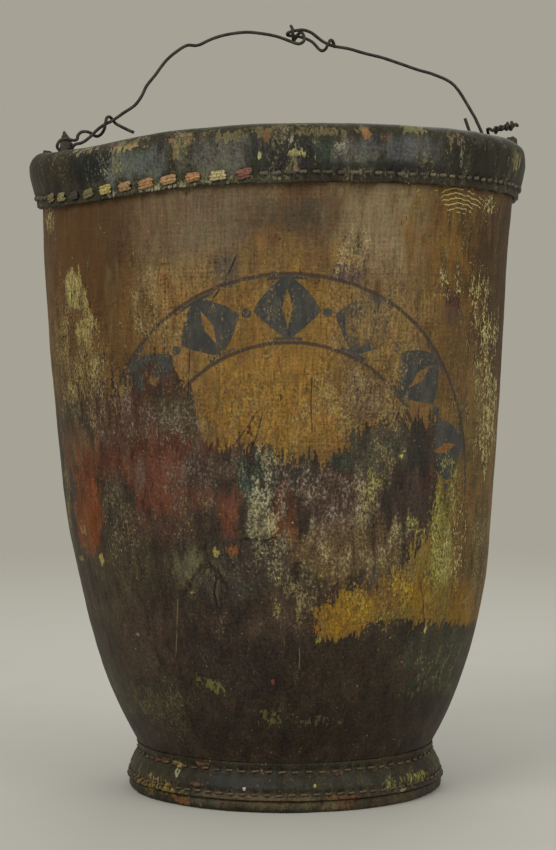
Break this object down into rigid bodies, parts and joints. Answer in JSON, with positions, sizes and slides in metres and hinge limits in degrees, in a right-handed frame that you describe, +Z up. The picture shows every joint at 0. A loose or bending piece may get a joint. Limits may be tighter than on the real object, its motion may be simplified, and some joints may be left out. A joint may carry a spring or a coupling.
{
  "type": "leather fire bucket",
  "caption": "Tapered leather bucket with a rolled, stitched rim, a flared stitched foot and a swinging wire bail hooked to two pierced leather ears.",
  "frame": {"origin": "centre of the foot on the surface that the bucket stands on", "axes": "+Z up along the bucket's axis, the ears on the X axis, the front faces -Y"},
  "size_m": [0.2328, 0.2328, 0.3592],
  "materials": {
    "wall_leather": "old oil paint, worn and flaking in ochre, brown and dark red, over leather",
    "rim_leather": "blue-black paint, rubbed, with flecks of ochre and yellow",
    "foot_leather": "dark olive-grey paint, chipped",
    "bottom_leather": "bare dark leather",
    "ear_leather": "dry dark leather with torn edges",
    "thread": "waxed linen thread under old paint",
    "mend_thong": "thick ochre and orange thong",
    "rope": "hemp rope",
    "iron_wire": "dull brown-black iron wire"
  },
  "bodies": {
    "bucket": {"body_wall": "wall_leather", "seam_strip": "wall_leather", "seam_stitches": "thread", "bottom_disc": "bottom_leather", "foot_band": "foot_leather", "foot_welt": "foot_leather", "foot_upper_stitches": "thread", "foot_lower_stitches": "thread", "rim_rope": "rope", "rim_binding": "rim_leather", "rim_stitches": "thread", "rim_mend_stitches": "mend_thong", "ear_left": "ear_leather", "ear_right": "ear_leather", "ear_left_stitches": "thread", "ear_right_stitches": "thread", "torn_point_left": "ear_leather", "strap_stub_left": "ear_leather", "strap_stub_right": "ear_leather", "tie_wire_right": "iron_wire"},
    "bail": {"bail_wire_left": "iron_wire", "bail_wire_right": "iron_wire"}
  },
  "joints": [
    {"name": "bail_swing", "type": "hinge", "parent": "bucket", "child": "bail", "pos_m": [0, 0, 0.3005], "axis": [1, 0, 0], "range_deg": [-80, 80]}
  ]
}
